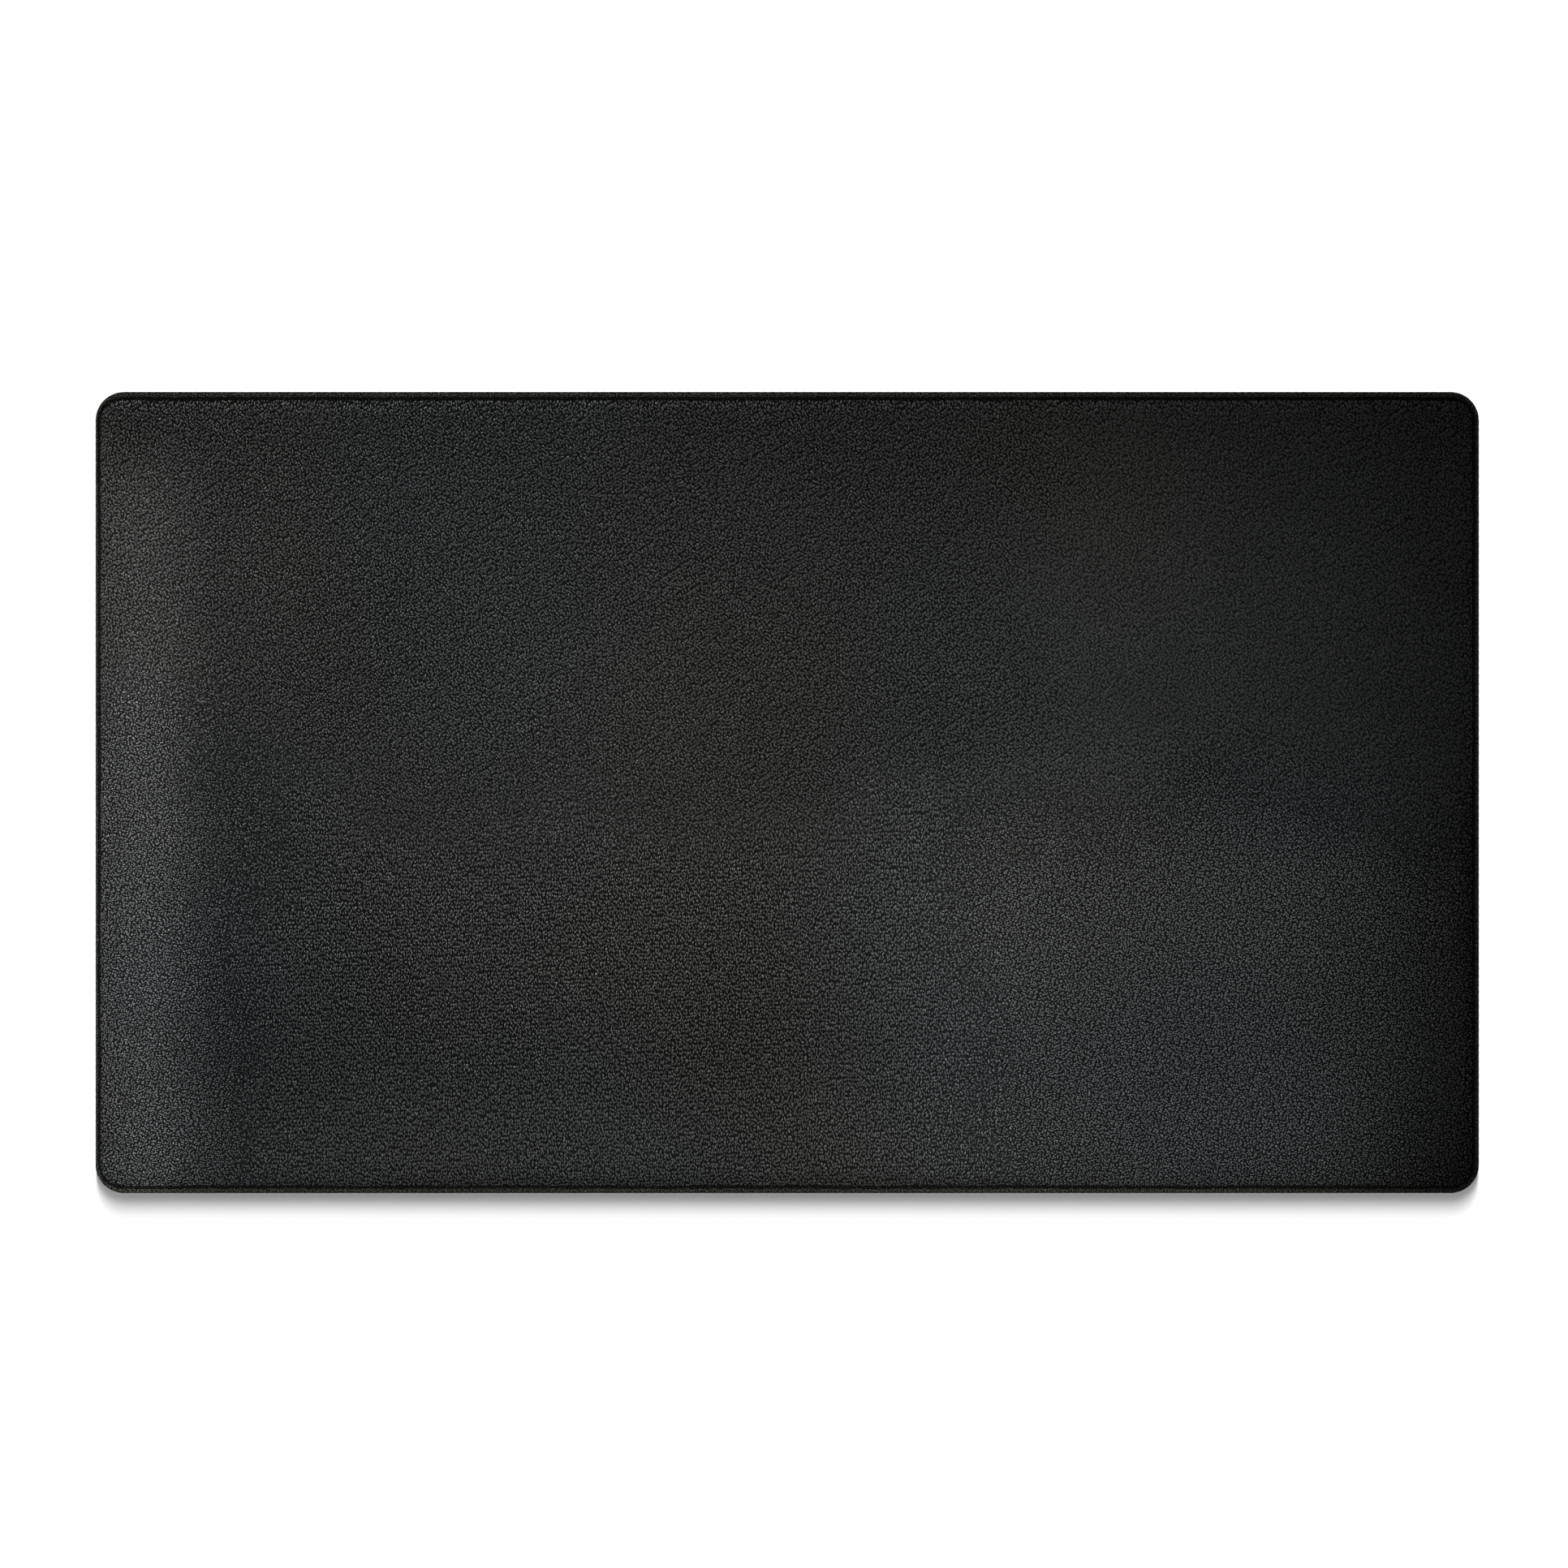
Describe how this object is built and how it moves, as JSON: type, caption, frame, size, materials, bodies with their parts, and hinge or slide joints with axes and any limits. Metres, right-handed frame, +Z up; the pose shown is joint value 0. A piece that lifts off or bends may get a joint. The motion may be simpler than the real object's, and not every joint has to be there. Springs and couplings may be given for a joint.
{
  "type": "desk mat",
  "caption": "Rounded rectangular black leather desk mat with a padded field, a stitched turned edge and a suede non-slip backing.",
  "frame": {"origin": "middle of the underside, on the desk", "axes": "+X along the length to the right, +Y to the back edge, +Z up out of the work surface"},
  "size_m": [0.6, 0.3474, 0.0033],
  "materials": {
    "cover_leather": "fine pebbled grain, satin",
    "core_felt": "dense needled felt",
    "backing_suede": "short-napped microfibre suede",
    "seam_thread": "bonded twisted polyester thread"
  },
  "bodies": {
    "root": {"top_cover": "cover_leather", "padding": "core_felt", "backing": "backing_suede", "needle_thread": "seam_thread", "bobbin_thread": "seam_thread"}
  },
  "joints": []
}
